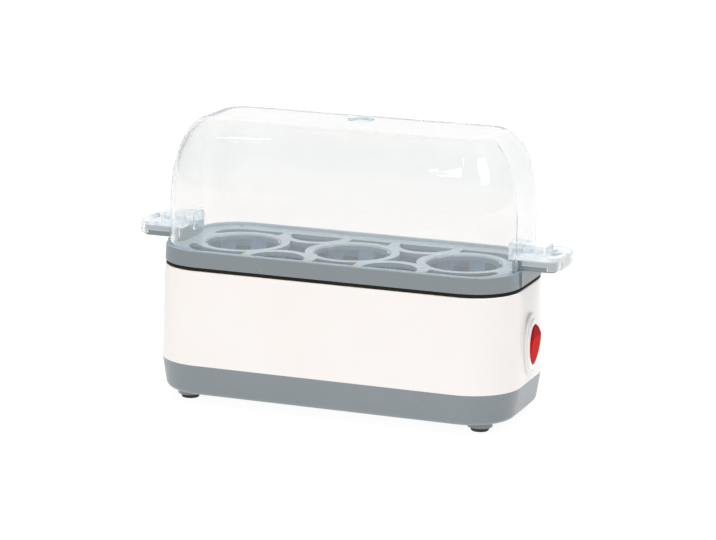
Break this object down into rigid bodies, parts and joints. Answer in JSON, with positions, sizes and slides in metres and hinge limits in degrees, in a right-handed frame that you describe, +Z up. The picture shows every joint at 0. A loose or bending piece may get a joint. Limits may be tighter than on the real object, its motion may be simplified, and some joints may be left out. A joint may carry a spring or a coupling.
{
  "type": "electric egg cooker",
  "caption": "Low oblong egg cooker: heated pan in a white shell on a grey base, lift-out tray with egg rings in a row, clear domed lid and end rocker switch.",
  "frame": {"origin": "on the surface the feet stand on, under the middle of the body", "axes": "+X along the length towards the switch end, -Y towards the front, +Z up"},
  "size_m": [0.2278, 0.0854, 0.146],
  "materials": {
    "white_shell": "glossy warm white moulding",
    "grey_plastic": "fine satin mid grey moulding",
    "clear_lid": "clear polished moulding",
    "pan_coating": "dark non-stick coating on pressed aluminium",
    "black_seal": "dull black silicone",
    "foot_rubber": "dull dark grey rubber",
    "bright_steel": "zinc plated",
    "element_tube": "drawn tube",
    "terminal_brass": "plain brass",
    "black_plastic": "satin black moulding",
    "fuse_sleeve": "woven white sleeve",
    "block_plastic": "natural white nylon",
    "red_lens": "glossy red lens"
  },
  "bodies": {
    "base_unit": {"base_tub": "grey_plastic", "foot_pads": "foot_rubber", "housing_screws": "bright_steel", "cord_grommet": "black_seal", "housing_shell": "white_shell", "pan_seal": "black_seal", "heating_pan": "pan_coating", "bridge_plate": "bright_steel", "stud_nuts": "bright_steel", "heating_element": "element_tube", "element_pins": "bright_steel", "thermostat": "bright_steel", "thermostat_tabs": "terminal_brass", "thermal_fuse": "fuse_sleeve", "terminal_block": "block_plastic", "terminal_screws": "bright_steel", "switch_bezel": "white_shell", "switch_body": "black_plastic", "switch_tabs": "terminal_brass"},
    "egg_tray": {"egg_tray": "grey_plastic", "egg_ring_left": "grey_plastic", "egg_ring_middle": "grey_plastic", "egg_ring_right": "grey_plastic"},
    "lid": {"lid": "clear_lid"},
    "rocker": {"switch_rocker": "red_lens"}
  },
  "joints": [
    {"name": "tray_lift", "type": "slide", "parent": "base_unit", "child": "egg_tray", "axis": [0, 0, 1], "range_m": [0, 0.12]},
    {"name": "lid_lift", "type": "slide", "parent": "egg_tray", "child": "lid", "axis": [0, 0, 1], "range_m": [0, 0.12]},
    {"name": "switch_rock", "type": "hinge", "parent": "base_unit", "child": "rocker", "pos_m": [0.0952, 0, 0.0403], "axis": [0, 1, 0], "range_deg": [-9, 0]}
  ]
}
